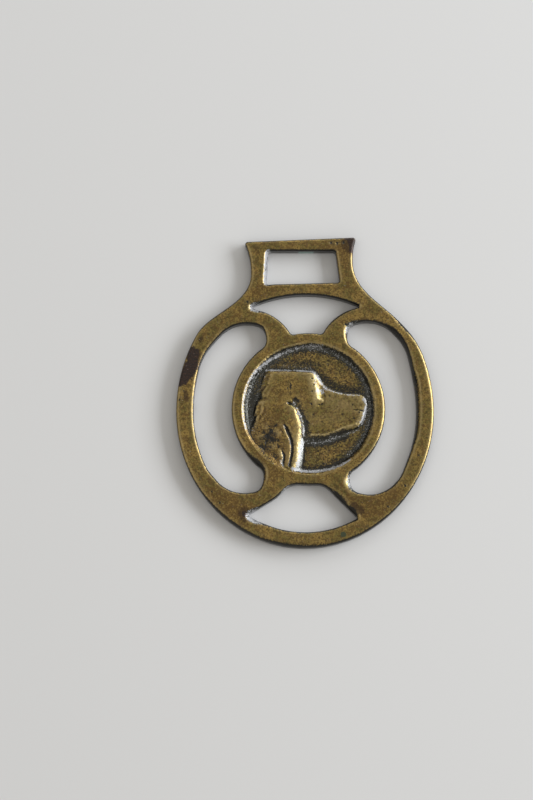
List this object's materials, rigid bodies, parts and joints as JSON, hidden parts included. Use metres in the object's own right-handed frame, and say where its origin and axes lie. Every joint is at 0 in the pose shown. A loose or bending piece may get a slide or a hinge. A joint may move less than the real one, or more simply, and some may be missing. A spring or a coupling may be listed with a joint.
{
  "type": "horse brass",
  "caption": "Pierced cast-brass harness ornament: a strap slot above an oval ring, curved spokes, and a dog's head in relief on a sunk round medallion.",
  "frame": {"origin": "middle of the outline, on the flat back that it lies on", "axes": "+X to the right of the face, +Y up towards the strap slot, +Z out of the face"},
  "size_m": [0.072, 0.0882, 0.0032],
  "materials": {
    "aged_brass": "aged, worn bright on its edges and dark in its hollows"
  },
  "bodies": {
    "root": {"horse_brass": "aged_brass"}
  },
  "joints": []
}
